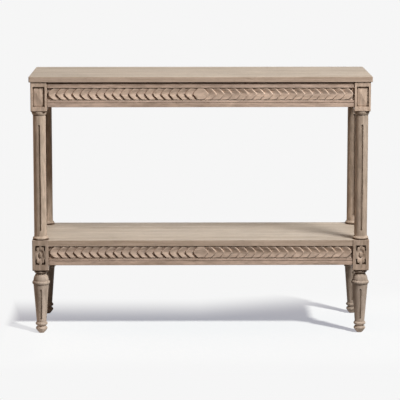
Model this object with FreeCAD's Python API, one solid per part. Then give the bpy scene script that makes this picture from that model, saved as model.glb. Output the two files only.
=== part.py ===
import FreeCAD, Part
import math
import os
from FreeCAD import Rotation, Vector

# Two-tier pier table: a plain top and a shelf on four sectional legs, tied by rails with carved bands.
# Millimetres, +Z up, front towards -Y, origin on the floor under the middle of the table.

# Top
top_width = 1220.0
top_depth = 400.0
top_thickness = 20.0
top_side_overhang = 6.0
top_front_overhang = 3.5
top_upper_round = 2.5
top_lower_round = 1.5
top_corner_round = 4.5

# Shelf
shelf_thickness = 22.0
shelf_edge_round = 1.5

# Rails, listed downwards: plain strip, carved band, plain strip
rail_thickness = 25.0
rail_setback = 3.0
upper_strip = 20.0
frieze_height = 45.0
lower_strip = 24.0
frieze_depth = 8.0
rail_edge_round = 1.5
quirk_drop = 8.0
quirk_width = 1.6
quirk_depth = 0.8

# Tenons of the rails
tenon_thickness = 9.0
tenon_shoulder_top = 12.0
tenon_shoulder_bottom = 20.0
tenon_apart = 8.0

# Carved overlapping scales
scale_margin = 1.0
scale_pitch = 28.5
scale_lean = 18.0
scale_centre_half = 28.0
scale_high = 7.2
scale_low = 3.2
frieze_base = 2.0
frieze_end_gap = 1.5

# Corner blocks
block_width = 58.0
block_edge_round = 2.0
block_bottom_bevel = 2.5
upper_block_drop = 16.0
lower_block_drop = 20.0

# Sunk panel on the upper blocks, with a field that rises to a low point
panel_margin_side = 7.5
panel_margin_top = 16.0
panel_margin_bottom = 17.0
panel_depth = 6.0
panel_bevel = 1.5
panel_field_rise = 3.8

# Rosette recess on the lower blocks, and the carving let into it
rosette_margin_side = 11.0
rosette_margin_top = 19.5
rosette_margin_bottom = 22.0
rosette_depth = 6.0
rosette_floor = 1.2
boss_width = 16.5
boss_height = 22.5
boss_rise = 5.6
petal_rise = 4.6
corner_petal_rise = 3.0
end_petal_width = 25.0
side_petal_width = 22.0
corner_petal_width = 15.0
petal_top_share = 0.62

# Columns
column_height = 463.0
column_radius = 23.0
base_ring_step = 5.2
base_ring_height = 10.0
base_cove_height = 5.0
echinus_height = 13.0
echinus_step = 4.8
echinus_foot_step = 1.0
neck_groove_height = 2.0
neck_groove_depth = 1.2
column_tenon_radius = 13.0
column_tenon_apart = 5.0

# Flutes
flute_count = 4
column_flute_radius = 3.8
column_flute_depth = 3.6
column_flute_top_margin = 47.0
column_flute_bottom_margin = 33.0
foot_flute_top_radius = 4.0
foot_flute_bottom_radius = 3.2
foot_flute_depth = 3.0
foot_flute_top_margin = 15.0
foot_flute_bottom_margin = 11.0

# Turned feet, listed upwards
foot_height = 231.0
foot_tip_radius = 9.0
ball_step = 5.4
ball_height = 24.0
ball_middle = 16.0
ball_tip_swell = 0.7
ankle_radius = 15.8
ankle_height = 4.0
bead_swell = 5.1
bead_height = 12.0
taper_bottom_radius = 17.4
taper_top_radius = 27.8
collar_root = 28.0
collar_swell = 4.0
collar_height = 14.0
dome_radius = 27.6
dome_height = 25.0
waist_radius = 18.6
waist_height = 3.0
cap_root = 21.0
cap_swell = 3.5
cap_height = 11.0

# Corner braces
brace_thickness = 20.0
brace_height = 45.0
brace_gap = 3.0
brace_grip = 8.0
brace_screw_margin = 11.0
shelf_screw_grip = 18.0

# Buttons that hold the top
button_width = 28.0
button_length = 30.0
button_thickness = 18.0
button_spacing = 600.0
button_setback = 1.0
tongue_length = 9.0
tongue_thickness = 8.0

# Screws
screw_radius = 2.0
screw_head_radius = 4.0
screw_head_height = 2.6
screw_point = 4.0
screw_cover = 6.0

# Leg studs and threaded inserts
stud_radius = 5.0
stud_in_foot = 42.0
stud_in_column = 40.0
stud_bore_gap = 0.5
insert_radius = 7.0
insert_length = 30.0

# Clearances, and the tolerance for picking edges
fit_gap = 0.2
glue_room = 1.0
pick = 0.01

# Levels, upwards from the floor
upper_rail_height = upper_strip + frieze_height + lower_strip
lower_rail_height = frieze_height + lower_strip
upper_block_height = upper_rail_height + upper_block_drop
lower_block_height = shelf_thickness + lower_rail_height + lower_block_drop
lower_block_top = foot_height + lower_block_height
shelf_bottom = lower_block_top - shelf_thickness
lower_rail_bottom = shelf_bottom - lower_rail_height
upper_block_bottom = lower_block_top + column_height
top_bottom = upper_block_bottom + upper_block_height
upper_rail_bottom = top_bottom - upper_rail_height
top_top = top_bottom + top_thickness
rosette_height = lower_block_height - rosette_margin_top - rosette_margin_bottom
rosette_level = foot_height + rosette_margin_bottom + rosette_height / 2

# Plan
half_block = block_width / 2
axis_x = top_width / 2 - top_side_overhang - half_block
axis_y = top_depth / 2 - top_front_overhang - half_block
half_rail = rail_thickness / 2
rail_line = half_block - rail_setback - half_rail
long_rail = 2 * axis_x - block_width
short_rail = 2 * axis_y - block_width
tenon_length = block_width - rail_setback - half_rail - tenon_thickness / 2 - tenon_apart
column_tenon_length = upper_block_drop + tenon_shoulder_bottom - column_tenon_apart
rail_screw_bite = rail_thickness - frieze_depth - screw_cover

CORNERS = {
    "front_left": (-1, -1),
    "front_right": (1, -1),
    "back_left": (-1, 1),
    "back_right": (1, 1),
}
# Turn of each side from the front, in degrees
SIDE_TURNS = {"front": 0, "right": 90, "back": 180, "left": 270}
LONG_SIDES = ("front", "back")
CARVED_SIDES = ("front", "right", "left")
UP = Vector(0, 0, 1)
ORIGIN = Vector(0, 0, 0)
QUARTER_SWELL = 1 - math.sqrt(0.5)


def box(x_low, x_high, y_low, y_high, z_low, z_high):
    """Box between two corners."""
    return Part.makeBox(x_high - x_low, y_high - y_low, z_high - z_low, Vector(x_low, y_low, z_low))


def edges_where(shape, test):
    """Edges whose bounding box passes a test."""
    return [edge for edge in shape.Edges if test(edge.BoundBox)]


def prism(points, along):
    """Solid made by sliding a closed outline of points."""
    return Part.Face(Part.makePolygon(points + points[:1])).extrude(along)


def turned(outline):
    """Solid turned about Z from entries of radius, height and swell.

    The stretch that ends at an entry is straight when its swell is 0, and otherwise an arc that stands
    out from the straight line by the swell. A negative swell is hollow.
    """
    edges = []
    start = Vector(outline[0][0], 0, outline[0][1])
    first = start
    for radius, height, swell in outline[1:]:
        end = Vector(radius, 0, height)
        if swell:
            chord = end - start
            outward = Vector(chord.z, 0, -chord.x).normalize()
            middle = (start + end) * 0.5 + outward * swell
            edges.append(Part.Arc(start, middle, end).toShape())
        else:
            edges.append(Part.LineSegment(start, end).toShape())
        start = end
    edges.append(Part.LineSegment(start, first).toShape())
    return Part.Face(Part.Wire(edges)).revolve(ORIGIN, UP, 360)


def upright_swell(reach, rise):
    """Swell of an arc over a given reach and rise that stands upright at its wider end."""
    chord = math.hypot(reach, rise)
    radius = chord * chord / (2 * reach)
    return radius - math.sqrt(radius * radius - chord * chord / 4)


def capsule(start, end, start_radius, end_radius):
    """Round-ended cutter between two points."""
    along = end - start
    shape = turned([
        (0, -start_radius, 0),
        (start_radius, 0, start_radius * QUARTER_SWELL),
        (end_radius, along.Length, 0),
        (0, along.Length + end_radius, end_radius * QUARTER_SWELL),
    ])
    shape.Placement = FreeCAD.Placement(start, Rotation(UP, along))
    return shape


def rod(start, along, radius):
    """Cylinder from a point along a vector."""
    return Part.makeCylinder(radius, along.Length, start, along)


def rectangle(width, height, y):
    """Closed rectangle that faces the front, centred on the origin in X and Z."""
    corners = [(-width, -height), (width, -height), (width, height), (-width, height)]
    points = [Vector(x / 2, y, z / 2) for x, z in corners]
    return Part.makePolygon(points + points[:1])


def to_corner(shape, side_x, side_y):
    """Front left piece mirrored to the corner on the given sides."""
    if side_x > 0:
        shape = shape.mirror(ORIGIN, Vector(1, 0, 0))
    if side_y > 0:
        shape = shape.mirror(ORIGIN, Vector(0, 1, 0))
    return shape


def to_every_corner(shape):
    """The four mirrored copies of a front left piece."""
    return [to_corner(shape, *sides) for sides in CORNERS.values()]


def to_side(shape, side):
    """Piece built on the front rail's middle plane, carried to a side of the table."""
    reach = axis_y if side in LONG_SIDES else axis_x
    placed = shape.copy()
    placed.translate(Vector(0, -reach - rail_line, 0))
    placed.rotate(ORIGIN, UP, SIDE_TURNS[side])
    return placed


def rail_length(side):
    """Clear length of a side's rails between the blocks."""
    return long_rail if side in LONG_SIDES else short_rail


def screw(seat, along):
    """Round-head screw whose head sits at a point and whose shank runs along a vector."""
    length = along.Length
    shape = turned([
        (0, -screw_head_height, 0),
        (screw_head_radius, 0, screw_head_height * QUARTER_SWELL),
        (screw_radius, 0, 0),
        (screw_radius, length - screw_point, 0),
        (0, length, 0),
    ])
    shape.Placement = FreeCAD.Placement(seat, Rotation(UP, along))
    return shape


def screw_hole(seat, along):
    """Clearance hole for a screw's shank."""
    return rod(seat, along, screw_radius + fit_gap)


# Rails and their tenons

def rail(length, bottom, top, band_top):
    """Front rail on its middle plane, with a tenon at each end.

    band_top is the upper edge of its carved band, or 0 where it has none.
    """
    body = box(-length / 2, length / 2, -half_rail, half_rail, bottom, top)
    lower_edges = edges_where(body, lambda b: b.ZMax < bottom + pick and b.XLength > pick)
    body = body.makeFillet(rail_edge_round, lower_edges)
    reach = length / 2 + tenon_length
    tongue = tenon_thickness / 2
    tenons = box(-reach, reach, -tongue, tongue, bottom + tenon_shoulder_bottom, top - tenon_shoulder_top)
    if band_top:
        band_bottom = band_top - frieze_height
        groove_floor = -half_rail + frieze_depth
        body = body.cut(box(-length / 2, length / 2, -half_rail, groove_floor, band_bottom, band_top))
        body = body.cut(quirk(length, band_bottom - quirk_drop))
    return body.fuse(tenons).removeSplitter()


def quirk(length, level):
    """Fine V line cut along the lower strip of a rail."""
    half_length = length / 2
    points = [
        Vector(-half_length, -half_rail, level - quirk_width / 2),
        Vector(-half_length, -half_rail + quirk_depth, level),
        Vector(-half_length, -half_rail, level + quirk_width / 2),
    ]
    return prism(points, Vector(length, 0, 0))


def mortise(shoulder_low, shoulder_high):
    """Mortise in the front left block for the front rail's tenon."""
    mouth = -axis_x + half_block
    middle = -axis_y - rail_line
    half_slot = tenon_thickness / 2 + fit_gap
    end = mouth - tenon_length - glue_room
    return box(end, mouth, middle - half_slot, middle + half_slot,
               shoulder_low - fit_gap, shoulder_high + fit_gap)


def swap_plan(shape):
    """Front rail's feature in the front left block, turned over to serve the left rail."""
    shape = shape.copy()
    shape.translate(Vector(axis_x, axis_y, 0))
    shape = shape.mirror(ORIGIN, Vector(1, -1, 0))
    shape.translate(Vector(-axis_x, -axis_y, 0))
    return shape


def both_mortises(rail_bottom, rail_top):
    """The two mortises in the front left block, one for each rail."""
    one = mortise(rail_bottom + tenon_shoulder_bottom, rail_top - tenon_shoulder_top)
    return [one, swap_plan(one)]


# Carved bands

def frieze(length):
    """Carved strip whose scales lap outwards from a whole scale in the middle.

    The back of the strip is at y = 0, the middle of its height at z = 0.
    """
    half_length = length / 2
    run = half_length - scale_centre_half - frieze_end_gap
    count = max(1, round(run / scale_pitch))
    tips = [scale_centre_half + run * step / count for step in range(count + 1)]
    outline = [(0, 0), (0, scale_high), (tips[0], scale_high)]
    for near, far in zip(tips, tips[1:]):
        outline += [(near, scale_low), (far, scale_high)]
    outline.append((tips[-1], 0))
    points = [Vector(x, -rise, 0) for x, rise in outline]
    half_scale = frieze_height / 2 - scale_margin
    wing = prism(points, Vector(-scale_lean, 0, half_scale))
    wing = wing.fuse(prism(points, Vector(-scale_lean, 0, -half_scale)))
    wing = wing.common(box(0, half_length, -frieze_depth, 0, -half_scale, half_scale))
    half_strip = frieze_height / 2 - fit_gap
    strip = box(-half_length, half_length, -frieze_base, 0, -half_strip, half_strip)
    carving = wing.fuse(wing.mirror(ORIGIN, Vector(1, 0, 0)))
    return strip.fuse(carving).removeSplitter()


# Corner blocks

def block(bottom, top):
    """Plain front left block with eased upright edges and a bevelled bottom."""
    left = -axis_x - half_block
    front = -axis_y - half_block
    shape = box(left, left + block_width, front, front + block_width, bottom, top)
    under = edges_where(shape, lambda b: b.ZMax < bottom + pick)
    shape = shape.makeChamfer(block_bottom_bevel, under)
    upright = edges_where(shape, lambda b: b.ZLength > b.XLength + b.YLength)
    return shape.makeFillet(block_edge_round, upright)


def to_block_face(shape, level):
    """Piece built on a face at y = 0 that looks to -Y, carried to the front left block's front face."""
    placed = shape.copy()
    placed.translate(Vector(-axis_x, -axis_y - half_block, level))
    return placed


def upper_block(faces):
    """Front left upper block with its sunk panels, mortises and the socket for the column."""
    shape = block(upper_block_bottom, top_bottom)
    width = block_width - 2 * panel_margin_side
    height = upper_block_height - panel_margin_top - panel_margin_bottom
    level = upper_block_bottom + panel_margin_bottom + height / 2
    floor_width = width - 2 * panel_bevel
    floor_height = height - 2 * panel_bevel
    sunk = Part.makeLoft([
        rectangle(width, height, 0),
        rectangle(floor_width, floor_height, panel_depth),
    ], True, True)
    field = Part.makeLoft([
        rectangle(floor_width, floor_height, panel_depth),
        Part.Vertex(0, panel_depth - panel_field_rise, 0),
    ], True, True)
    panel = to_block_face(sunk.cut(field), level)
    cutters = [panel if face == "front" else swap_plan(panel) for face in faces]
    cutters += both_mortises(upper_rail_bottom, top_bottom)
    socket_base = Vector(-axis_x, -axis_y, upper_block_bottom)
    cutters.append(rod(socket_base, UP * (column_tenon_length + glue_room), column_tenon_radius + fit_gap))
    for cutter in cutters:
        shape = shape.cut(cutter)
    return shape


def lower_block(faces):
    """Front left lower block with its rosette recesses, mortises and the bore for the leg stud."""
    shape = block(foot_height, lower_block_top)
    width = block_width - 2 * rosette_margin_side
    recess = box(-width / 2, width / 2, 0, rosette_depth, -rosette_height / 2, rosette_height / 2)
    recess = to_block_face(recess, rosette_level)
    cutters = [recess if face == "front" else swap_plan(recess) for face in faces]
    cutters += both_mortises(lower_rail_bottom, shelf_bottom)
    bore_base = Vector(-axis_x, -axis_y, foot_height)
    cutters.append(rod(bore_base, UP * lower_block_height, stud_radius + stud_bore_gap))
    for cutter in cutters:
        shape = shape.cut(cutter)
    return shape


# Rosettes

def leaf_outline(root, tip, width, y, share):
    """Pointed leaf between two points, drawn in about its middle by a share."""
    middle = (root + tip) * 0.5
    near = middle + (root - middle) * share
    far = middle + (tip - middle) * share
    along = far - near
    across = Vector(-along.z, 0, along.x).normalize() * (width * share / 2)
    lift = Vector(0, y, 0)
    one = Part.Arc(near + lift, middle + across + lift, far + lift).toShape()
    other = Part.Arc(far + lift, middle - across + lift, near + lift).toShape()
    return Part.Wire([one, other])


def leaf(reach_x, reach_z, width, rise):
    """Petal from the middle of the recess out to a point, with bevelled edges."""
    root = Vector(0, 0, 0)
    tip = Vector(reach_x, 0, reach_z)
    floor = rosette_depth
    low = leaf_outline(root, tip, width, floor, 1.0)
    high = leaf_outline(root, tip, width, floor - rise, petal_top_share)
    return Part.makeLoft([low, high], True, True)


def oval(width, height, y):
    """Upright oval outline."""
    curve = Part.Ellipse(Vector(0, y, height / 2), Vector(width / 2, y, 0), Vector(0, y, 0))
    return Part.Wire([curve.toShape()])


def rosette():
    """Flower in a rectangular recess: petals to the ends, sides and corners round an oval boss."""
    width = block_width - 2 * rosette_margin_side - 2 * fit_gap
    height = rosette_height - 2 * fit_gap
    shape = box(-width / 2, width / 2, rosette_depth - rosette_floor, rosette_depth, -height / 2, height / 2)
    pieces = []
    for turn_x in (-1, 1):
        pieces.append(leaf(turn_x * width / 2, 0, side_petal_width, petal_rise))
        for turn_z in (-1, 1):
            reach = (turn_x * width / 2, turn_z * height / 2)
            pieces.append(leaf(*reach, corner_petal_width, corner_petal_rise))
    for turn_z in (-1, 1):
        pieces.append(leaf(0, turn_z * height / 2, end_petal_width, petal_rise))
    pieces.append(Part.makeLoft([
        oval(boss_width, boss_height, rosette_depth),
        oval(boss_width * petal_top_share, boss_height * petal_top_share, rosette_depth - boss_rise),
    ], True, True))
    frame = box(-width / 2, width / 2, 0, rosette_depth, -height / 2, height / 2)
    for piece in pieces:
        shape = shape.fuse(piece.common(frame))
    return to_block_face(shape, rosette_level)


# Columns and feet

def flutes(cutter):
    """Copies of a front flute cutter set evenly round the Z axis."""
    copies = []
    for step in range(flute_count):
        turned_cutter = cutter.copy()
        turned_cutter.rotate(ORIGIN, UP, 360.0 * step / flute_count)
        copies.append(turned_cutter)
    return copies


def column():
    """Fluted column on the Z axis, from its base ring to the tenon above its cap."""
    base = lower_block_top
    cap = upper_block_bottom
    ring_top = base + base_ring_height
    cove_top = ring_top + base_cove_height
    echinus_bottom = cap - echinus_height
    neck_bottom = echinus_bottom - neck_groove_height
    cap_reach = column_radius + echinus_step
    neck_radius = column_radius - neck_groove_depth
    echinus_root = column_radius + echinus_foot_step
    ring_swell = base_ring_height / 4
    ring_root = column_radius + base_ring_step - ring_swell
    shape = turned([
        (0, base, 0),
        (ring_root, base, 0),
        (ring_root, ring_top, ring_swell),
        (column_radius, cove_top, -upright_swell(ring_root - column_radius, base_cove_height)),
        (column_radius, neck_bottom, 0),
        (neck_radius, neck_bottom, 0),
        (neck_radius, echinus_bottom, 0),
        (echinus_root, echinus_bottom, 0),
        (cap_reach, cap, upright_swell(cap_reach - echinus_root, echinus_height)),
        (column_tenon_radius, cap, 0),
        (column_tenon_radius, cap + column_tenon_length, 0),
        (0, cap + column_tenon_length, 0),
    ])
    reach = column_radius + column_flute_radius - column_flute_depth
    low = base + column_flute_bottom_margin + column_flute_radius
    high = cap - column_flute_top_margin - column_flute_radius
    cutter = capsule(Vector(0, -reach, low), Vector(0, -reach, high),
                     column_flute_radius, column_flute_radius)
    for flute in flutes(cutter):
        shape = shape.cut(flute)
    bottom = Vector(0, 0, base)
    shape = shape.cut(rod(bottom, UP * insert_length, insert_radius + fit_gap))
    return shape.cut(rod(bottom, UP * (stud_in_column + glue_room), stud_radius + stud_bore_gap))


def foot():
    """Turned tapered foot on the Z axis, from the floor to the underside of the block."""
    ankle_bottom = ball_height
    bead_bottom = ankle_bottom + ankle_height
    taper_bottom = bead_bottom + bead_height
    cap_bottom = foot_height - cap_height
    waist_bottom = cap_bottom - waist_height
    dome_bottom = waist_bottom - dome_height
    taper_top = dome_bottom - collar_height
    ball_radius = ankle_radius + ball_step
    shape = turned([
        (0, 0, 0),
        (foot_tip_radius, 0, 0),
        (ball_radius, ball_middle, ball_tip_swell),
        (ankle_radius, ankle_bottom, upright_swell(ball_step, ball_height - ball_middle)),
        (ankle_radius, bead_bottom, 0),
        (taper_bottom_radius, taper_bottom, bead_swell),
        (taper_top_radius, taper_top, 0),
        (collar_root, taper_top, 0),
        (collar_root, dome_bottom, collar_swell),
        (dome_radius, dome_bottom, 0),
        (waist_radius, waist_bottom, upright_swell(dome_radius - waist_radius, dome_height)),
        (waist_radius, cap_bottom, 0),
        (cap_root, cap_bottom, 0),
        (cap_root, foot_height, cap_swell),
        (0, foot_height, 0),
    ])
    slope = (taper_top_radius - taper_bottom_radius) / (taper_top - taper_bottom)
    low = taper_bottom + foot_flute_bottom_margin + foot_flute_bottom_radius
    high = taper_top - foot_flute_top_margin - foot_flute_top_radius
    low_surface = taper_bottom_radius + slope * (low - taper_bottom)
    high_surface = taper_bottom_radius + slope * (high - taper_bottom)
    low_reach = low_surface + foot_flute_bottom_radius - foot_flute_depth
    high_reach = high_surface + foot_flute_top_radius - foot_flute_depth
    cutter = capsule(Vector(0, -low_reach, low), Vector(0, -high_reach, high),
                     foot_flute_bottom_radius, foot_flute_top_radius)
    for flute in flutes(cutter):
        shape = shape.cut(flute)
    top = Vector(0, 0, foot_height)
    return shape.cut(rod(top, UP * -(stud_in_foot + glue_room), stud_radius + fit_gap))


def on_leg(shape):
    """Turned piece carried from the Z axis to the front left leg."""
    placed = shape.copy()
    placed.translate(Vector(-axis_x, -axis_y, 0))
    return placed


def leg_stud():
    """Threaded rod that ties a foot, a lower block and a column."""
    start = Vector(-axis_x, -axis_y, foot_height - stud_in_foot)
    return rod(start, UP * (stud_in_foot + lower_block_height + stud_in_column), stud_radius)


def column_insert():
    """Threaded sleeve set flush in the bottom of a column."""
    start = Vector(-axis_x, -axis_y, lower_block_top)
    sleeve = rod(start, UP * insert_length, insert_radius)
    return sleeve.cut(rod(start, UP * insert_length, stud_radius + fit_gap))


# Corner braces

corner_x = -axis_x - half_block
corner_y = -axis_y - half_block
brace_inset = rail_setback + rail_thickness
brace_near = 2 * block_width + brace_gap * math.sqrt(2)
brace_far = brace_near + brace_thickness * math.sqrt(2)
brace_middle = (brace_near + brace_far) / 2


def brace_screw_axes(bottom):
    """Seat and shank vector of the screws from the front left brace into its two rails."""
    axes = []
    bite = brace_grip + rail_screw_bite
    along = brace_middle - brace_inset
    seat = brace_inset + brace_grip
    for level in (bottom + brace_screw_margin, bottom + brace_height - brace_screw_margin):
        axes.append((Vector(corner_x + along, corner_y + seat, level), Vector(0, -bite, 0)))
        axes.append((Vector(corner_x + seat, corner_y + along, level), Vector(-bite, 0, 0)))
    return axes


def brace(bottom, upright_hole):
    """Front left bar across the corner between two rails."""
    plan = [
        (brace_near - brace_inset, brace_inset),
        (brace_far - brace_inset, brace_inset),
        (brace_inset, brace_far - brace_inset),
        (brace_inset, brace_near - brace_inset),
    ]
    points = [Vector(corner_x + x, corner_y + y, bottom) for x, y in plan]
    shape = prism(points, UP * brace_height)
    for seat, along in brace_screw_axes(bottom):
        shape = shape.cut(screw_hole(seat, along))
        pocket = along.normalize() * -brace_far
        shape = shape.cut(rod(seat, pocket, screw_head_radius + fit_gap))
    if upright_hole:
        seat, along = shelf_screw_axis()
        shape = shape.cut(screw_hole(seat, along))
        shape = shape.cut(rod(seat, UP * -brace_height, screw_head_radius + fit_gap))
    return shape


def shelf_screw_axis():
    """Seat and shank vector of the screw from the front left lower brace up into the shelf."""
    middle = brace_middle / 2
    seat = Vector(corner_x + middle, corner_y + middle, shelf_bottom - shelf_screw_grip)
    return seat, UP * (shelf_screw_grip + shelf_thickness - screw_cover)


# Buttons under the top

def button_places(side):
    """Positions of the buttons along a rail."""
    if side in LONG_SIDES:
        return (-button_spacing / 2, button_spacing / 2)
    return (0.0,)


def button_screw_axis(x):
    """Seat and shank vector of a button's screw, on the front rail's middle plane."""
    seat = Vector(x, half_rail + button_setback + button_length / 2, top_bottom - button_thickness)
    return seat, UP * (button_thickness + top_thickness - screw_cover)


def button(x):
    """Hardwood button with a tongue in the rail's slot, on the front rail's middle plane."""
    bottom = top_bottom - button_thickness
    inner = half_rail + button_setback
    half_width = button_width / 2
    body = box(x - half_width, x + half_width, inner, inner + button_length, bottom, top_bottom)
    tongue = box(x - half_width, x + half_width, half_rail - tongue_length, inner,
                 bottom, bottom + tongue_thickness)
    return body.fuse(tongue).removeSplitter().cut(screw_hole(*button_screw_axis(x)))


def button_slot(x):
    """Slot in the rail for a button's tongue."""
    bottom = top_bottom - button_thickness
    half_width = button_width / 2 + fit_gap
    return box(x - half_width, x + half_width, half_rail - tongue_length - fit_gap, half_rail,
               bottom - fit_gap, bottom + tongue_thickness + fit_gap)


# Top and shelf

def top_panel():
    """Plain slab with eased edges."""
    shape = box(-top_width / 2, top_width / 2, -top_depth / 2, top_depth / 2, top_bottom, top_top)
    upright = edges_where(shape, lambda b: b.ZLength > pick)
    shape = shape.makeFillet(top_corner_round, upright)
    upper = edges_where(shape, lambda b: b.ZMin > top_top - pick)
    shape = shape.makeFillet(top_upper_round, upper)
    lower = edges_where(shape, lambda b: b.ZMax < top_bottom + pick)
    return shape.makeFillet(top_lower_round, lower)


def shelf_panel():
    """Board on the lower rails, notched round the blocks and flush with their tops."""
    half_x = axis_x + half_block - rail_setback
    half_y = axis_y + half_block - rail_setback
    shape = box(-half_x, half_x, -half_y, half_y, shelf_bottom, lower_block_top)
    upper = edges_where(shape, lambda b: b.ZMin > lower_block_top - pick)
    shape = shape.makeFillet(shelf_edge_round, upper)
    reach = half_block + fit_gap
    notch = box(-axis_x - reach, -axis_x + reach, -axis_y - reach, -axis_y + reach,
                shelf_bottom, lower_block_top)
    for corner_notch in to_every_corner(notch):
        shape = shape.cut(corner_notch)
    return shape


def rail_set(level, bottom, top, band_top, brace_bottom, slots):
    """The four rails of one tier, with their button slots and screw holes."""
    holes = []
    for seat, along in brace_screw_axes(brace_bottom):
        holes += to_every_corner(screw_hole(seat, along))
    made = {}
    for side in SIDE_TURNS:
        shape = rail(rail_length(side), bottom, top, band_top if side in CARVED_SIDES else 0)
        if slots:
            for x in button_places(side):
                shape = shape.cut(button_slot(x))
        made[f"{level}_{side}_rail"] = to_side(shape, side).cut(Part.makeCompound(holes))
    return made


def frieze_set(level, band_top):
    """The carved strips of one tier, seated in the grooves of their rails."""
    made = {}
    for side in CARVED_SIDES:
        shape = frieze(rail_length(side))
        shape.translate(Vector(0, -half_rail + frieze_depth, band_top - frieze_height / 2))
        made[f"{level}_{side}_frieze"] = to_side(shape, side)
    return made


def leg_set():
    """Blocks, columns, feet and rosettes of the four legs."""
    made = {}
    turned_column = on_leg(column())
    turned_foot = on_leg(foot())
    carving = rosette()
    for corner, (side_x, side_y) in CORNERS.items():
        faces = ("front", "side") if side_y < 0 else ("side",)
        made[f"{corner}_upper_block"] = to_corner(upper_block(faces), side_x, side_y)
        made[f"{corner}_column"] = to_corner(turned_column, side_x, side_y)
        made[f"{corner}_lower_block"] = to_corner(lower_block(faces), side_x, side_y)
        made[f"{corner}_foot"] = to_corner(turned_foot, side_x, side_y)
        for face in faces:
            shape = carving if face == "front" else swap_plan(carving)
            made[f"{corner}_{face}_rosette"] = to_corner(shape, side_x, side_y)
    return made


def brace_set(level, bottom, upright_hole):
    """The four corner braces of one tier and their screws."""
    made = {}
    shape = brace(bottom, upright_hole)
    for corner, sides in CORNERS.items():
        made[f"{corner}_{level}_brace"] = to_corner(shape, *sides)
    screws = []
    for seat, along in brace_screw_axes(bottom):
        screws += to_every_corner(screw(seat, along))
    made[f"{level}_brace_screws"] = Part.makeCompound(screws)
    return made


def top_set():
    """The top with its buttons and their screws."""
    buttons = []
    screws = []
    holes = []
    for side in SIDE_TURNS:
        for x in button_places(side):
            buttons.append(to_side(button(x), side))
            screws.append(to_side(screw(*button_screw_axis(x)), side))
            holes.append(to_side(screw_hole(*button_screw_axis(x)), side))
    return {
        "top_panel": top_panel().cut(Part.makeCompound(holes)),
        "top_buttons": Part.makeCompound(buttons),
        "top_button_screws": Part.makeCompound(screws),
    }


def shelf_set():
    """The shelf and the screws that hold it down."""
    axis = shelf_screw_axis()
    holes = to_every_corner(screw_hole(*axis))
    return {
        "shelf_panel": shelf_panel().cut(Part.makeCompound(holes)),
        "shelf_screws": Part.makeCompound(to_every_corner(screw(*axis))),
    }


def build():
    """Every node of the table by name."""
    upper_brace_bottom = top_bottom - brace_height
    lower_brace_bottom = shelf_bottom - brace_height
    upper_band_top = top_bottom - upper_strip
    nodes = {}
    nodes.update(top_set())
    nodes.update(rail_set("upper", upper_rail_bottom, top_bottom, upper_band_top, upper_brace_bottom, True))
    nodes.update(frieze_set("upper", upper_band_top))
    nodes.update(brace_set("upper", upper_brace_bottom, False))
    nodes.update(leg_set())
    nodes["leg_studs"] = Part.makeCompound(to_every_corner(leg_stud()))
    nodes["column_inserts"] = Part.makeCompound(to_every_corner(column_insert()))
    nodes.update(shelf_set())
    nodes.update(rail_set("lower", lower_rail_bottom, shelf_bottom, shelf_bottom, lower_brace_bottom, False))
    nodes.update(frieze_set("lower", shelf_bottom))
    nodes.update(brace_set("lower", lower_brace_bottom, True))
    return nodes


os.makedirs("parts", exist_ok=True)
for name, shape in build().items():
    shape.exportStep(f"parts/{name}.step")
    print(name, "solids", len(shape.Solids), "valid", shape.isValid(), "volume", round(shape.Volume))
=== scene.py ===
import math
import random

import bmesh
import bpy
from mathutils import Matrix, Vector


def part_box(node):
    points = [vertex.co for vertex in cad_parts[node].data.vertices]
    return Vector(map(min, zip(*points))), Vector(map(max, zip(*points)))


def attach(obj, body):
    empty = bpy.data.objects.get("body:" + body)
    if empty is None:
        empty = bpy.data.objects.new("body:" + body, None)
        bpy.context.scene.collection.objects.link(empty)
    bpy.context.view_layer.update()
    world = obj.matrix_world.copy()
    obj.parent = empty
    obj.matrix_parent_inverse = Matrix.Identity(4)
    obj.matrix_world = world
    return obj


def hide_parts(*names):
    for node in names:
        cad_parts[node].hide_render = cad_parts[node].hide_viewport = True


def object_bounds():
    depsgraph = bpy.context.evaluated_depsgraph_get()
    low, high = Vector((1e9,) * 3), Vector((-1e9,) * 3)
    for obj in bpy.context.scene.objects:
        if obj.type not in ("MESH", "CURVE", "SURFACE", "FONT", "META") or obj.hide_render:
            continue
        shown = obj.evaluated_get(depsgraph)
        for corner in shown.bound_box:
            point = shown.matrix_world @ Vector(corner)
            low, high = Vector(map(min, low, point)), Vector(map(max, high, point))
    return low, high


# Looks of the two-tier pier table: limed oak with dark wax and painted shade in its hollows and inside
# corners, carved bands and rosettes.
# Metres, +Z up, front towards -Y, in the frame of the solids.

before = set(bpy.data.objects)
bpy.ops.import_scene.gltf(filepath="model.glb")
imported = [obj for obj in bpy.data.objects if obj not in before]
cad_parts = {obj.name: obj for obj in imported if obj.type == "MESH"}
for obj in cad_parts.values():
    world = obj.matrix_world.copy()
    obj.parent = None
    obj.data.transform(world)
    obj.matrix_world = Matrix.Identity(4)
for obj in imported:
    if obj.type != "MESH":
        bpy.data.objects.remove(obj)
first_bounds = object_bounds()
MM = 0.001

# Camera: turns in degrees, lens and sensor in millimetres
camera_place = Vector((-0.0678, -7.3477, 1.6024))
camera_yaw = 0.522
camera_pitch = 8.29
camera_lens = 182.37
camera_sensor = 36.0
camera_shift = -0.05

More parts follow.
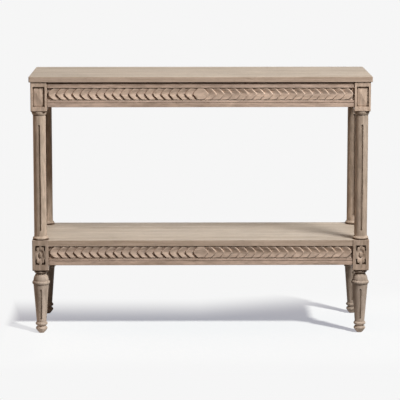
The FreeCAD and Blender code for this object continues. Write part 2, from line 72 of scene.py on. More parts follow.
# Light: a near key from the upper right in front that is a little weaker further off, a far one for the
# shadow on the floor, a warm fill mostly from the left, and soft cards beside the left end and behind
key_azimuth = 45.0
key_elevation = 39.0
key_distance = 4.0
key_size = 1.45
key_falloff = 0.35
floor_key_azimuth = 41.0
floor_key_elevation = 41.5
floor_key_spread = 4.5
key_share = 0.85
fill_share = 0.15
fill_tint = (1.25, 0.98, 0.80)
fill_lean = (-0.14, 0.04, 0.0)
card_height = 0.70
card_size = 1.0
left_card_distance = 1.30
left_card_level = 0.13
back_card_distance = 2.00
back_card_level = 0.45
background_level = 0.922

# Floor: its shadow is cool and light and fades out round the table, and it throws back more light
# near the feet. A fade runs between two distances beyond an edge of the table, or behind its front edge
# for fade_corner_y.
floor_half = 60.0
floor_drop = 0.2 * MM
floor_bounce = 0.06
foot_bounce = 0.65
foot_bounce_reach = (0.05, 0.30)
floor_gain = 1.06
shadow_lift = 0.395
shadow_cool = (0.868, 0.916, 1.055)
fade_back = (-0.18, 0.26)
fade_back_slant = 0.35
fade_left = (0.05, 0.12)
fade_right = (0.20, 0.60)
fade_front = (0.25, 0.60)
fade_corner_x = (-0.10, 0.02)
fade_corner_y = (0.23, 0.17)
fade_corner = 0.60

# Oak: linear colour of each kind of piece, and tones of the tiers and of single pieces, which partly paint
# shade and light
top_colour = (0.498, 0.410, 0.326)
# Tints of the upright faces of the top and shelf paint shade: browner and darker than the level faces
top_upright_shade_tint = (1.05, 0.94, 0.90)
shelf_colour = (0.492, 0.407, 0.326)
shelf_upright_shade_tint = (1.05, 0.94, 0.89)
rail_colour = (0.580, 0.416, 0.322)
band_colour = (0.612, 0.448, 0.344)
block_colour = (0.553, 0.406, 0.308)
column_colour = (0.550, 0.420, 0.322)
foot_colour = (0.468, 0.364, 0.287)
raw_colour = (0.420, 0.275, 0.145)
# The lower tier's tone partly paints shade: the lower blocks and bands are darker
tier_tones_with_shade = {"upper": 1.0, "lower": 0.86}
# Single pieces' tones partly paint light and shade: the front right blocks brighter, the back pieces,
# front right column and front left lower block darker
piece_tones_with_light_and_shade = {
    "front_left_lower_block": 0.85,
    "front_right_lower_block": 1.05,
    "front_right_upper_block": 1.05,
    "front_right_column": 0.90,
    "back_left_column": 0.92,
    "back_right_column": 0.77,
    "front_right_foot": 0.90,
    "back_left_foot": 0.80,
    "back_right_foot": 0.72,
}

# Oak: finish of each kind of piece, in the oak function's terms
# Each finish's wax darkens the hollows and inside corners: dark wax that also paints the shade there
panel_finish = {"wax_and_shade": 0.60, "patchy": 0.05}
# Rails: the darkening reaches far, to paint the shade below the top's overhang
rail_finish = {"wax_and_shade": 0.98, "wax_and_shade_reach": 30 * MM, "hollows": (0.98, 0.72)}
# Bands: the darkening paints shade at the foot of each scale's step, and the worn edges paint highlights
# on the scales' edges
band_finish = {"wax_and_shade": 0.80, "wax_and_shade_reach": 9 * MM, "hollows": (0.64, 0.36), "wear_and_highlight": 0.80}
block_finish = {"wax_and_shade": 0.85}
# Columns: the darkening paints shade in the flutes
column_finish = {"wax_and_shade": 0.80, "hollows": (0.94, 0.60)}
# Feet: the darkening paints shade in the flutes, and fades out near the floor
foot_finish = {"wax_and_shade": 0.80, "hollows": (0.88, 0.62), "low_fade_height": 48 * MM}
raw_finish = {"wax_and_shade": 0.20, "patchy": 0.08, "wear_and_highlight": 0.0}

# Oak: noise of its figure, as scale along the grain, scale across it, detail and roughness
sway_noise = (2.0, 9.0, 2.0, 0.50)
band_noise = (1.3, 52.0, 3.0, 0.55)
streak_noise = (9.0, 260.0, 3.0, 0.60)
pore_noise = (55.0, 1500.0, 1.0, 0.50)
glaze_noise = (22.0, 80.0, 3.0, 0.60)

# Oak: noise of its blotches, as scale, detail and roughness
blotch_noise = (5.0, 3.0, 0.50)

# Oak: how the figure, the wax with its painted shade and the wear with its painted highlights show
piece_offset = (7.3, 5.1, 3.7)
noise_middle = 0.5
sway_width = 0.020
band_part = 0.55
streak_part = 0.45
tone_range = (0.34, 0.64)
grain_pale = (1.12, 1.12, 1.12)
grain_brown = (0.87, 0.84, 0.80)
pore_range = (0.60, 0.74)
pore_wax = 0.40
blotch_range = (0.30, 0.70)
blotch_levels = (0.94, 1.06)
piece_levels = (0.985, 1.015)
glaze_range = (0.28, 0.72)
level_face_range = (0.2, 0.8)
no_tint = (1.0, 1.0, 1.0)
# Dark wax colour, which also paints shade in hollows and inside corners
wax_and_shade_colour = (0.055, 0.025, 0.009)
low_fade_start = 0.8
# Pale worn colour, which also paints highlights on thin outer edges
wear_and_highlight_colour = (0.760, 0.660, 0.560)
wear_and_highlight_reach = 2.5 * MM
wear_and_highlight_thinness = (0.80, 0.45)
wear_and_highlight_streaks = (0.35, 0.60)
wear_and_highlight_openness = (0.60, 0.85)
edge_radius = 0.8 * MM
edge_samples = 4
relief_streaks = 0.5
relief_strength = 0.30
relief_depth = 0.5 * MM
roughness_tones = (0.30, 0.70)
oak_roughness = (0.62, 0.46)
oak_specular = 0.08

# Metal: colours, clouds and tool marks, with their noise in the same terms as the oak's
zinc_colour = (0.350, 0.360, 0.370)
zinc_roughness = 0.36
brass_colour = (0.560, 0.345, 0.080)
brass_roughness = 0.30
cloud_noise = (90.0, 3.0, 0.50)
cloud_range = (0.3, 0.7)
cloud_tone = 0.8
mark_noise = (300.0, 60.0, 3.0, 0.60)
mark_range = (0.3, 0.7)
mark_roughness = 0.08
mark_strength = 0.1
mark_depth = 0.2 * MM

# Carved meshes
weld_distance = 0.002 * MM
sharp_angle = 50.0

# Carved bands: lengths of their scales, and heights as shares of the band's depth
scale_pitch = 28.5 * MM
scale_lean = 18.0 * MM
scale_centre_half = 28.0 * MM
scale_end_gap = 3.5 * MM
scale_top_margin = 1.5 * MM
scale_bottom_margin = 1.6 * MM
scale_jitter = 0.35 * MM
scale_high_range = (0.955, 1.0)
scale_crest_share = 0.96
scale_low_share = 0.22
scale_base_share = 0.25
scale_end_share = 0.05
scale_rim_share = 0.70

# Carved bands: form of each scale, as shares of its own length, height and half height, and its steps
scale_centre_start = 0.93
scale_tip_round = 0.20
scale_end_round = 0.60
scale_roll_start = 0.86
scale_rise_power = 1.10
scale_shoulder_start = 0.86
scale_shoulder_drop = 0.20
scale_foot_drop = 0.60
scale_lift_range = (0.30, 0.95)
scale_lift = 0.45
scale_rows = 33
scale_rise_steps = 9
scale_roll_steps = 6

# Rosettes, as shares of their half width, half height and depth
rosette_columns = 73
rosette_rows = 129
rosette_floor = 0.05
ring_floor = 0.20
ring_reach = 2.20
petal_count = 8
petal_level = 0.78
petal_rim = 0.96
end_petal_half = 0.34
side_petal_half = 0.48
corner_petal_across = 0.81
corner_petal_up = 0.88
corner_petal_round = 0.24
petal_edge = 0.07
petal_groove = 0.20
boss_half_width = 0.38
boss_half_height = 0.32
boss_foot = 0.10

# Outward and along directions of the three carved sides
SIDE_AXES = {
    "front": (Vector((0, -1, 0)), Vector((1, 0, 0))),
    "right": (Vector((1, 0, 0)), Vector((0, 1, 0))),
    "left": (Vector((-1, 0, 0)), Vector((0, -1, 0))),
}
UP = Vector((0, 0, 1))
X_AXIS = 0
Y_AXIS = 1
Z_AXIS = 2
LEGS = ("front_left", "front_right", "back_left", "back_right")
SIDE_GRAINS = {"front": X_AXIS, "back": X_AXIS, "left": Y_AXIS, "right": Y_AXIS}


# Node helpers

def add(tree, kind, inputs=None, **settings):
    """New node. An input that is given a socket is linked, and any other is set."""
    node = tree.nodes.new(kind)
    for key, value in settings.items():
        setattr(node, key, value)
    for key, value in (inputs or {}).items():
        if isinstance(value, bpy.types.NodeSocket):
            tree.links.new(value, node.inputs[key])
        else:
            node.inputs[key].default_value = value
    return node


def calc(tree, operation, first, second=0.0):
    """Result of a Math node."""
    return add(tree, "ShaderNodeMath", {0: first, 1: second}, operation=operation).outputs[0]


def vector_calc(tree, operation, first, second=(0.0, 0.0, 0.0), result="Vector"):
    """Result of a Vector Math node."""
    return add(tree, "ShaderNodeVectorMath", {0: first, 1: second}, operation=operation).outputs[result]


def opaque(colour):
    """Colour with full alpha."""
    return (*colour, 1.0)


def mix(tree, factor, first, second):
    """Mix of two colours."""
    inputs = {0: factor, 6: first, 7: second}
    return add(tree, "ShaderNodeMix", inputs, data_type="RGBA").outputs[2]


def mix_shaders(tree, factor, first, second):
    """Mix of two shaders."""
    return add(tree, "ShaderNodeMixShader", {0: factor, 1: first, 2: second}).outputs[0]


def spread(tree, value, low, high, to_low=0.0, to_high=1.0):
    """Value carried smoothly from one range to another and held at its ends."""
    inputs = {"Value": value, "From Min": low, "From Max": high, "To Min": to_low, "To Max": to_high}
    return add(tree, "ShaderNodeMapRange", inputs, interpolation_type="SMOOTHSTEP").outputs[0]


def noise(tree, place, scale, detail, roughness):
    """Noise value at a place."""
    inputs = {"Vector": place, "Scale": scale, "Detail": detail, "Roughness": roughness}
    return add(tree, "ShaderNodeTexNoise", inputs).outputs[0]


def grain_noise(tree, place, grain, along, across, detail, roughness):
    """Noise value at a place, in streaks along the grain axis."""
    scales = [across, across, across]
    scales[grain] = along
    return noise(tree, vector_calc(tree, "MULTIPLY", place, scales), 1.0, detail, roughness)


def occlusion(tree, reach, **settings):
    """How open a place is within a reach, from 0 to 1."""
    return add(tree, "ShaderNodeAmbientOcclusion", {"Distance": reach}, **settings).outputs["AO"]


def new_material(name):
    """Empty node material and its tree."""
    material = bpy.data.materials.new(name)
    material.use_nodes = True
    material.node_tree.nodes.clear()
    return material, material.node_tree


# Materials

def tinted(colour, tint):
    """Colour times a tint."""
    return [part * share for part, share in zip(colour, tint)]


def toned(colour, tone):
    """Colour at a tone."""
    return [part * tone for part in colour]


def upright_shade_tint(tree, tint):
    """Painted shade on upright faces: a browner, darker tint there, and none on level ones."""
    normal = add(tree, "ShaderNodeNewGeometry").outputs["Normal"]
    rise = calc(tree, "ABSOLUTE", add(tree, "ShaderNodeSeparateXYZ", {0: normal}).outputs[2])
    return mix(tree, spread(tree, rise, *level_face_range), opaque(tint), opaque(no_tint))


def wear_and_highlight_share(tree, streaks, openness, wear_and_highlight):
    """Share of pale worn wood, which also paints highlights: in streaks along thin outer edges, and not in
    the hollows.
    """
    thin = occlusion(tree, wear_and_highlight_reach, inside=True)
    lightened = calc(tree, "MULTIPLY", spread(tree, thin, *wear_and_highlight_thinness), wear_and_highlight)
    lightened = calc(tree, "MULTIPLY", lightened, spread(tree, streaks, *wear_and_highlight_streaks))
    return calc(tree, "MULTIPLY", lightened, spread(tree, openness, *wear_and_highlight_openness))


def wax_and_shade_share(tree, spot, openness, hollows, wax_and_shade, low_fade_height):
    """Share of dark wax with painted shade, which lie in the hollows and inside corners and fade out below
    a height.
    """
    share = calc(tree, "MULTIPLY", spread(tree, openness, *hollows), wax_and_shade)
    if low_fade_height:
        height = add(tree, "ShaderNodeSeparateXYZ", {0: spot}).outputs[2]
        kept = spread(tree, height, low_fade_start * low_fade_height, low_fade_height)
        share = calc(tree, "MULTIPLY", share, kept)
    return share


def oak_normal(tree, streaks, pores):
    """Normal of the wood, with soft edges and open grain."""
    soft = add(tree, "ShaderNodeBevel", {"Radius": edge_radius}, samples=edge_samples).outputs[0]
    relief = calc(tree, "SUBTRACT", calc(tree, "MULTIPLY", streaks, relief_streaks), pores)
    inputs = {"Strength": relief_strength, "Distance": relief_depth, "Height": relief, "Normal": soft}
    return add(tree, "ShaderNodeBump", inputs).outputs[0]


def oak(name, grain, base, wax_and_shade, wax_and_shade_reach=13 * MM, hollows=(0.88, 0.48), patchy=0.18, wear_and_highlight=0.35,
        edge_shade_tint=None, low_fade_height=0.0):
    """Oak whose grain runs along an axis, with dark wax and painted shade in its hollows, a patchy glaze,
    and worn edges that also paint highlights.

    wax_and_shade is the most darkening in a hollow, by wax and painted shade, wax_and_shade_reach how far
    from an inside corner it goes, hollows how open a place is where it starts and where it is full, patchy
    how far the glaze departs from even, wear_and_highlight how far the edges are worn and lightened as
    painted highlights, edge_shade_tint a tint of painted shade on upright faces, and low_fade_height the
    height above the floor below which the darkening fades out.
    """
    material, tree = new_material(name)
    chance = add(tree, "ShaderNodeObjectInfo").outputs["Random"]
    spot = add(tree, "ShaderNodeTexCoord").outputs["Object"]
    place = vector_calc(tree, "ADD", spot, vector_calc(tree, "MULTIPLY", chance, piece_offset))

    sway = calc(tree, "SUBTRACT", grain_noise(tree, place, grain, *sway_noise), noise_middle)
    bent = vector_calc(tree, "ADD", place, calc(tree, "MULTIPLY", sway, sway_width))
    bands = grain_noise(tree, bent, grain, *band_noise)
    streaks = grain_noise(tree, bent, grain, *streak_noise)
    pores = spread(tree, grain_noise(tree, bent, grain, *pore_noise), *pore_range)
    band_tone = calc(tree, "MULTIPLY", bands, band_part)
    streak_tone = calc(tree, "MULTIPLY", streaks, streak_part)
    tone = calc(tree, "ADD", band_tone, streak_tone)

    brown = opaque(tinted(base, grain_brown))
    pale = opaque(tinted(base, grain_pale))
    colour = mix(tree, spread(tree, tone, *tone_range), brown, pale)
    colour = mix(tree, calc(tree, "MULTIPLY", pores, pore_wax), colour, opaque(wax_and_shade_colour))
    blotch = spread(tree, noise(tree, place, *blotch_noise), *blotch_range, *blotch_levels)
    level = calc(tree, "MULTIPLY", blotch, spread(tree, chance, 0.0, 1.0, *piece_levels))
    glaze = grain_noise(tree, place, grain, *glaze_noise)
    level = calc(tree, "MULTIPLY", level, spread(tree, glaze, *glaze_range, 1 - patchy, 1 + patchy))
    colour = vector_calc(tree, "MULTIPLY", colour, level)
    # Painted shade: upright faces browner and darker
    if edge_shade_tint:
        colour = vector_calc(tree, "MULTIPLY", colour, upright_shade_tint(tree, edge_shade_tint))

    openness = occlusion(tree, wax_and_shade_reach)
    # Pale worn edges, which also paint highlights
    colour = mix(tree, wear_and_highlight_share(tree, streaks, openness, wear_and_highlight), colour, opaque(wear_and_highlight_colour))
    # Dark wax, which also paints shade in hollows and inside corners
    waxed_and_shaded = wax_and_shade_share(tree, spot, openness, hollows, wax_and_shade, low_fade_height)
    colour = mix(tree, waxed_and_shaded, colour, opaque(wax_and_shade_colour))

    shader = add(tree, "ShaderNodeBsdfPrincipled", {
        "Base Color": colour,
        "Roughness": spread(tree, tone, *roughness_tones, *oak_roughness),
        "Normal": oak_normal(tree, streaks, pores),
        "Specular IOR Level": oak_specular,
    })
    add(tree, "ShaderNodeOutputMaterial", {"Surface": shader.outputs[0]})
    return material


def metal(name, colour, roughness):
    """Plated or turned metal with faint tool marks."""
    material, tree = new_material(name)
    place = add(tree, "ShaderNodeTexCoord").outputs["Object"]
    cloud = spread(tree, noise(tree, place, *cloud_noise), *cloud_range)
    marks = grain_noise(tree, place, Z_AXIS, *mark_noise)
    smoother = roughness - mark_roughness
    rougher = roughness + mark_roughness
    relief = {"Strength": mark_strength, "Distance": mark_depth, "Height": marks}
    shader = add(tree, "ShaderNodeBsdfPrincipled", {
        "Base Color": mix(tree, cloud, opaque(colour), opaque(toned(colour, cloud_tone))),
        "Metallic": 1.0,
        "Roughness": spread(tree, marks, *mark_range, smoother, rougher),
        "Normal": add(tree, "ShaderNodeBump", relief).outputs[0],
    })
    add(tree, "ShaderNodeOutputMaterial", {"Surface": shader.outputs[0]})
    return material


# Carved meshes

def smooth(value):
    """Smooth step from 0 to 1."""
    value = min(max(value, 0.0), 1.0)
    return value * value * (3 - 2 * value)


class CarvedFace:
    """Place of a carving: its length along a side, its height, its depth, and the middle of its back."""

    def __init__(self, node, side):
        self.outward, self.along = SIDE_AXES[side]
        low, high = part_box(node)
        size = high - low
        self.half_length = abs(size.dot(self.along)) / 2
        self.half_height = size.z / 2
        self.depth = abs(size.dot(self.outward))
        self.back = (low + high) / 2 - self.outward * (self.depth / 2)

    def point(self, along, up, out):
        """World point from local lengths."""
        return self.back + self.along * along + UP * up + self.outward * out


def carved_object(name, face, sections):
    """Closed mesh through a row of sections, each a list of local points from the back to the back."""
    vertices = [face.point(*point) for section in sections for point in section]
    width = len(sections[0])
    faces = [list(range(width)), list(range(len(vertices) - width, len(vertices)))]
    for step in range(len(sections) - 1):
        near = step * width
        far = near + width
        for row in range(width):
            following = (row + 1) % width
            faces.append([near + row, far + row, far + following, near + following])
    mesh = bpy.data.meshes.new(name)
    mesh.from_pydata(vertices, [], faces)
    shape = bmesh.new()
    shape.from_mesh(mesh)
    bmesh.ops.remove_doubles(shape, verts=shape.verts, dist=weld_distance)
    bmesh.ops.recalc_face_normals(shape, faces=shape.faces)
    shape.to_mesh(mesh)
    shape.free()
    mesh.shade_smooth()
    mesh.set_sharp_from_angle(angle=math.radians(sharp_angle))
    piece = bpy.data.objects.new(name, mesh)
    bpy.context.scene.collection.objects.link(piece)
    return piece


def scale_edge(tip, share, tip_round):
    """Distance out of a scale's rounded point edge at a share of its half height."""
    bend = math.hypot(share, tip_round) - tip_round
    return tip - scale_lean * bend / (math.hypot(1.0, tip_round) - tip_round)


def scale_profile():
    """Steps over one scale: share of the way to its point, and share of its height."""
    steps = []
    for step in range(scale_rise_steps):
        way = step / scale_rise_steps
        steps.append((way * scale_roll_start, way ** scale_rise_power))
    for step in range(scale_roll_steps + 1):
        turn = math.pi / 2 * step / scale_roll_steps
        steps.append((scale_roll_start + (1 - scale_roll_start) * math.sin(turn), math.cos(turn)))
    return steps


def scale_band(name, node, side):
    """Carved band of scales that lap outwards from a whole scale in the middle."""
    face = CarvedFace(node, side)
    hand = random.Random(name)
    scale_top = face.half_height - scale_top_margin
    scale_bottom = scale_bottom_margin - face.half_height
    half_scale = (scale_top - scale_bottom) / 2
    scale_middle = (scale_top + scale_bottom) / 2
    base = face.depth * scale_base_share
    low = face.depth * scale_low_share
    end = face.depth * scale_end_share
    rim = face.depth * scale_rim_share
    crest = face.depth * scale_crest_share
    lift_start, lift_end = scale_lift_range
    run = face.half_length - scale_centre_half - scale_end_gap
    count = max(1, round(run / scale_pitch))
    shares = [math.sin(math.pi / 2 * (2 * row / (scale_rows - 1) - 1)) for row in range(scale_rows)]

    def section(places, height, lifted=scale_lift):
        """Section of the band at a height. places are its points' lengths along the side."""
        points = [
            (places[0], -face.half_height, 0),
            (places[0], -face.half_height, rim),
            (places[0], scale_bottom, rim),
        ]
        for share, place in zip(shares, places):
            over = max(0.0, (abs(share) - scale_shoulder_start) / (1 - scale_shoulder_start))
            drop = scale_shoulder_drop if share > 0 else scale_foot_drop
            keep = 1 - drop * over * over
            lift = lifted * smooth((share - lift_start) / (lift_end - lift_start))
            rise = height + (crest - height) * lift
            points.append((place, scale_middle + share * half_scale, base + (rise - base) * keep))
        points += [
            (places[-1], scale_top, base),
            (places[-1], face.half_height, base),
            (places[-1], face.half_height, 0),
        ]
        return points

    def half(direction):
        """Sections of one half from the middle outwards, in the direction -1 or 1."""
        tips = [scale_centre_half + run * step / count for step in range(count + 1)]
        tips = [tip + hand.uniform(-scale_jitter, scale_jitter) for tip in tips[:-1]] + tips[-1:]
        sections = []
        last_edge = [0.0] * scale_rows
        for number, tip in enumerate(tips):
            high = face.depth * hand.uniform(*scale_high_range)
            start = low if number else high * scale_centre_start
            tip_round = scale_end_round if number == count else scale_tip_round
            edge = [scale_edge(tip, share, tip_round) for share in shares]
            for way, rise in scale_profile():
                foot = start if way < scale_roll_start else low
                places = [direction * (near + (far - near) * way) for near, far in zip(last_edge, edge)]
                sections.append(section(places, foot + (high - foot) * rise))
            last_edge = edge
        sections.append(section([direction * place for place in last_edge], end, 0.0))
        sections.append(section([direction * face.half_length] * scale_rows, end, 0.0))
        return sections

    left = half(-1)
    right = half(1)
    return carved_object(name, face, left[::-1] + right[1:])


def petals(across, up):
    """Share of a rosette's petals at a place: 1 on a petal, 0 in the pockets beside the corner petals."""
    corner = math.hypot(max(0.0, across - corner_petal_across + corner_petal_round),
                        max(0.0, up - corner_petal_up + corner_petal_round))
    inside = max(end_petal_half - across, side_petal_half - up, corner_petal_round - corner)
    return smooth(inside / petal_edge)


def rosette_height(across, up):
    """Height of the rosette as a share of its depth, at shares of its half width and half height."""
    across = abs(across)
    up = abs(up)
    out = min(1.0, math.hypot(across, up))
    groove = petal_groove * out * (1 - math.cos(petal_count * math.atan2(up, across))) / 2
    boss = math.hypot(across / boss_half_width, up / boss_half_height)
    petal = petal_level + (petal_rim - petal_level) * out - groove
    petal = ring_floor + (petal - ring_floor) * smooth((boss - 1) / (ring_reach - 1))
    height = rosette_floor + (petal - rosette_floor) * petals(across, up)
    if boss < 1:
        height = max(height, boss_foot + (1 - boss_foot) * math.sqrt(1 - boss * boss))
    return height


def rosette(name, node, side):
    """Carved flower that fills a block's recess."""
    face = CarvedFace(node, side)
    sections = []
    for column in range(rosette_columns):
        across = 2 * column / (rosette_columns - 1) - 1
        place = across * face.half_length
        points = [(place, -face.half_height, 0)]
        for row in range(rosette_rows):
            up = 2 * row / (rosette_rows - 1) - 1
            points.append((place, up * face.half_height, rosette_height(across, up) * face.depth))
        points.append((place, face.half_height, 0))
        sections.append(points)
    return carved_object(name, face, sections)


# Dressing the table

def dress(piece, material):
    """One material on the whole piece."""
    piece.data.materials.clear()
    piece.data.materials.append(material)


def carve(node, side, maker, material):
    """Finer carving in place of a node."""
    piece = maker(node + "_carving", node, side)
    dress(piece, material)
    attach(piece, "root")
    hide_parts(node)


def leg_oak(node, colour, finish, tone=1.0):
    """Oak of one piece of a leg, at its own tone, which partly paints the light and shade on it."""
    shade = tone * piece_tones_with_light_and_shade.get(node, 1.0)
    return oak("oak_" + node, Z_AXIS, toned(colour, shade), **finish)


def leg_oaks():
    """Oak of each block, column and foot by its node's name."""
    oaks = {}
    for leg in LEGS:
        for tier, tone in tier_tones_with_shade.items():
            block = f"{leg}_{tier}_block"
            oaks[block] = leg_oak(block, block_colour, block_finish, tone)
        column = leg + "_column"
        oaks[column] = leg_oak(column, column_colour, column_finish)
        foot = leg + "_foot"
        oaks[foot] = leg_oak(foot, foot_colour, foot_finish)
    return oaks


def dress_table():
    """Materials on every node, and finer carvings for the bands and rosettes."""
    top = oak("oak_top", X_AXIS, top_colour, edge_shade_tint=top_upright_shade_tint, **panel_finish)
    shelf = oak("oak_shelf", X_AXIS, shelf_colour, edge_shade_tint=shelf_upright_shade_tint, **panel_finish)
    rails = {}
    bands = {}
    legs = leg_oaks()
    for tier, tone in tier_tones_with_shade.items():
        for side, grain in SIDE_GRAINS.items():
            rails[tier, side] = oak(f"oak_{tier}_rail_{side}", grain, rail_colour, **rail_finish)
        # The lower tier's band tone partly paints shade
        colour = toned(band_colour, tone)
        for side in SIDE_AXES:
            bands[tier, side] = oak(f"oak_{tier}_band_{side}", SIDE_GRAINS[side], colour, **band_finish)
    raw = oak("raw_hardwood", X_AXIS, raw_colour, **raw_finish)
    zinc = metal("zinc_steel", zinc_colour, zinc_roughness)
    brass = metal("brass", brass_colour, brass_roughness)
    for node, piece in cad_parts.items():
        words = node.split("_")
        if node == "top_panel":
            dress(piece, top)
        elif node == "shelf_panel":
            dress(piece, shelf)
        elif node.endswith("_rail"):
            dress(piece, rails[words[0], words[1]])
        elif node.endswith("_frieze"):
            carve(node, words[1], scale_band, bands[words[0], words[1]])
        elif node.endswith("_rosette"):
            face = "front" if words[2] == "front" else words[1]
            carve(node, face, rosette, legs[f"{words[0]}_{words[1]}_lower_block"])
        elif node in legs:
            dress(piece, legs[node])
        elif node.endswith(("_brace", "_buttons")):
            dress(piece, raw)
        elif node == "column_inserts":
            dress(piece, brass)
        else:
            dress(piece, zinc)


# Stage

def seen_directly(tree):
    """1 for rays that show the background itself: from the camera, a gloss or a clear surface."""
    path = add(tree, "ShaderNodeLightPath")
    seen = calc(tree, "MAXIMUM", path.outputs["Is Camera Ray"], path.outputs["Is Glossy Ray"])
    return calc(tree, "MAXIMUM", seen, path.outputs["Is Transmission Ray"])


def floor_fade(tree, place):
    """Share of plain background on the floor: 0 where the shadow shows near the table, 1 further out."""
    low, high = first_bounds
    parts = add(tree, "ShaderNodeSeparateXYZ", {0: place})
    x = parts.outputs[0]
    y = parts.outputs[1]
    slant = calc(tree, "MULTIPLY", calc(tree, "MAXIMUM", x, 0.0), fade_back_slant)
    slanted = calc(tree, "SUBTRACT", y, slant)
    back = spread(tree, slanted, high.y + fade_back[0], high.y + fade_back[1])
    left = spread(tree, x, low.x - fade_left[0], low.x - fade_left[1])
    right = spread(tree, x, high.x + fade_right[0], high.x + fade_right[1])
    front = spread(tree, y, low.y - fade_front[0], low.y - fade_front[1])
    corner_x = spread(tree, x, low.x - fade_corner_x[0], low.x - fade_corner_x[1])
    corner_y = spread(tree, y, low.y + fade_corner_y[0], low.y + fade_corner_y[1], 0.0, fade_corner)
    corner = calc(tree, "MULTIPLY", corner_x, corner_y)
    faded = back
    for other in (left, right, front, corner):
        faded = calc(tree, "MAXIMUM", faded, other)
    return faded


def floor_light(tree):
    """Floor with a cool shadow, at about the background's level where nothing shades it."""
    lit_share = floor_gain / (1 - shadow_lift)
    lit_colour = [(background_level - shadow_lift * cool) * lit_share for cool in shadow_cool]
    lit = add(tree, "ShaderNodeBsdfDiffuse", {"Color": opaque(lit_colour)}).outputs[0]
    lift = add(tree, "ShaderNodeEmission", {"Color": opaque(shadow_cool)}).outputs[0]
    return mix_shaders(tree, shadow_lift, lit, lift)


def floor_return(tree, place):
    """Light that the floor throws back at the table: more near the feet."""
    foot_low, foot_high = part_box("back_right_foot")
    leg_axis = ((foot_low.x + foot_high.x) / 2, (foot_low.y + foot_high.y) / 2, 0)
    from_axis = vector_calc(tree, "DISTANCE", vector_calc(tree, "ABSOLUTE", place), leg_axis, "Value")
    level = spread(tree, from_axis, *foot_bounce_reach, foot_bounce, floor_bounce)
    return add(tree, "ShaderNodeBsdfDiffuse", {"Color": level}).outputs[0]


def floor():
    """Pale floor that keeps the shadow near the table and fades it further out."""
    bpy.ops.mesh.primitive_plane_add(size=2 * floor_half, location=(0, 0, -floor_drop))
    ground = bpy.context.object
    ground.name = "floor"
    material, tree = new_material("floor")
    place = add(tree, "ShaderNodeTexCoord").outputs["Object"]
    flat = add(tree, "ShaderNodeEmission", {"Color": opaque([background_level] * 3)}).outputs[0]
    shown = mix_shaders(tree, floor_fade(tree, place), floor_light(tree), flat)
    surface = mix_shaders(tree, seen_directly(tree), floor_return(tree, place), shown)
    add(tree, "ShaderNodeOutputMaterial", {"Surface": surface})
    dress(ground, material)
    return ground


def lamp(name, kind, azimuth, elevation, lit_pieces):
    """Lamp from an azimuth right of the front and an elevation, that lights the given pieces only.

    Its colour makes up for the fill's, so that the two together are white.
    """
    source = bpy.data.lights.new(name, kind)
    source.color = [(1 - fill_share * part) / key_share for part in fill_tint]
    source.energy = key_share * math.pi / math.sin(math.radians(elevation))
    holder = bpy.data.objects.new(name, source)
    holder.rotation_euler = (math.radians(90 - elevation), 0, math.radians(azimuth))
    bpy.context.scene.collection.objects.link(holder)
    lit = bpy.data.collections.new(name + "_lights")
    for piece in lit_pieces:
        lit.objects.link(piece)
    holder.light_linking.receiver_collection = lit
    return holder


def soften_falloff(source):
    """Lamp that has its own level at the key's distance, and loses little of it further off."""
    source.use_nodes = True
    tree = source.node_tree
    tree.nodes.clear()
    falloff = add(tree, "ShaderNodeLightFalloff", {"Strength": 1.0})
    steady = calc(tree, "MULTIPLY", falloff.outputs["Constant"], 1 - key_falloff)
    weaker = calc(tree, "MULTIPLY", falloff.outputs["Linear"], key_falloff * key_distance)
    glow = add(tree, "ShaderNodeEmission", {"Strength": calc(tree, "ADD", steady, weaker)}).outputs[0]
    add(tree, "ShaderNodeOutputLight", {"Surface": glow})


def card(name, outward, distance, level, tint, key):
    """Soft lamp without gloss that faces one side of the table, and lights what the key lights."""
    source = bpy.data.lights.new(name, "AREA")
    source.shape = "DISK"
    source.size = card_size
    source.color = toned(tint, 1 / max(tint))
    source.energy = level * max(tint) * (math.pi * distance) ** 2
    low, high = first_bounds
    reach = (high - low) / 2
    holder = bpy.data.objects.new(name, source)
    holder.location = outward * (abs(outward.dot(reach)) + distance) + UP * card_height
    holder.rotation_euler = outward.to_track_quat("Z", "Y").to_euler()
    holder.visible_glossy = False
    holder.light_linking.receiver_collection = key.light_linking.receiver_collection
    bpy.context.scene.collection.objects.link(holder)


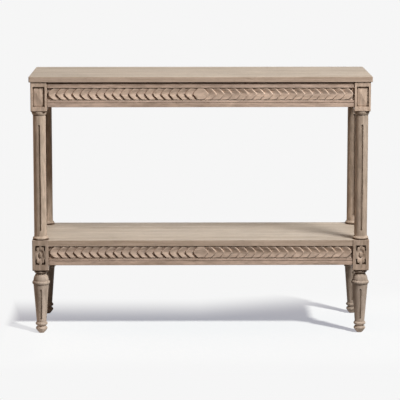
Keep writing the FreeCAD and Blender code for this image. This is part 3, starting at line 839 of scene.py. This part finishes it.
def light(table, ground):
    """Keys and cards. With the sky's fill, the keys light the top and the floor at a level of about 1."""
    key = lamp("key", "AREA", key_azimuth, key_elevation, table)
    key.data.shape = "DISK"
    key.data.size = key_size
    key.data.energy *= math.pi
    soften_falloff(key.data)
    away = key.rotation_euler.to_matrix() @ Vector((0, 0, key_distance))
    key.location = Vector((0, 0, first_bounds[1].z)) + away
    card("left_card", Vector((-1, 0, 0)), left_card_distance, left_card_level, fill_tint, key)
    card("back_card", Vector((0, 1, 0)), back_card_distance, back_card_level, key.data.color, key)
    floor_key = lamp("floor_key", "SUN", floor_key_azimuth, floor_key_elevation, [ground])
    floor_key.data.angle = math.radians(floor_key_spread)


def sky():
    """World that gives the warm fill, mostly from the left, and shows a pale background."""
    world = bpy.data.worlds.new("studio")
    world.use_nodes = True
    tree = world.node_tree
    tree.nodes.clear()
    way = add(tree, "ShaderNodeTexCoord").outputs["Generated"]
    lean = vector_calc(tree, "DOT_PRODUCT", way, fill_lean, "Value")
    fill = calc(tree, "MAXIMUM", calc(tree, "ADD", lean, fill_share), 0.0)
    seen = seen_directly(tree)
    level = spread(tree, seen, 0.0, 1.0, fill, background_level)
    tint = mix(tree, seen, opaque(fill_tint), opaque(no_tint))
    backdrop = add(tree, "ShaderNodeBackground", {"Color": tint, "Strength": level}).outputs[0]
    add(tree, "ShaderNodeOutputWorld", {"Surface": backdrop})
    bpy.context.scene.world = world


def camera():
    """Camera at the photograph's viewing angle."""
    data = bpy.data.cameras.new("camera")
    data.lens = camera_lens
    data.sensor_width = camera_sensor
    data.shift_y = camera_shift
    data.clip_end = 2 * floor_half
    eye = bpy.data.objects.new("camera", data)
    eye.location = camera_place
    eye.rotation_euler = (math.radians(90 - camera_pitch), 0, math.radians(-camera_yaw))
    bpy.context.scene.collection.objects.link(eye)
    bpy.context.scene.camera = eye


dress_table()
table_pieces = [piece for piece in bpy.context.scene.objects if piece.type == "MESH"]
light(table_pieces, floor())
sky()
camera()
bpy.context.scene.view_settings.view_transform = "Standard"
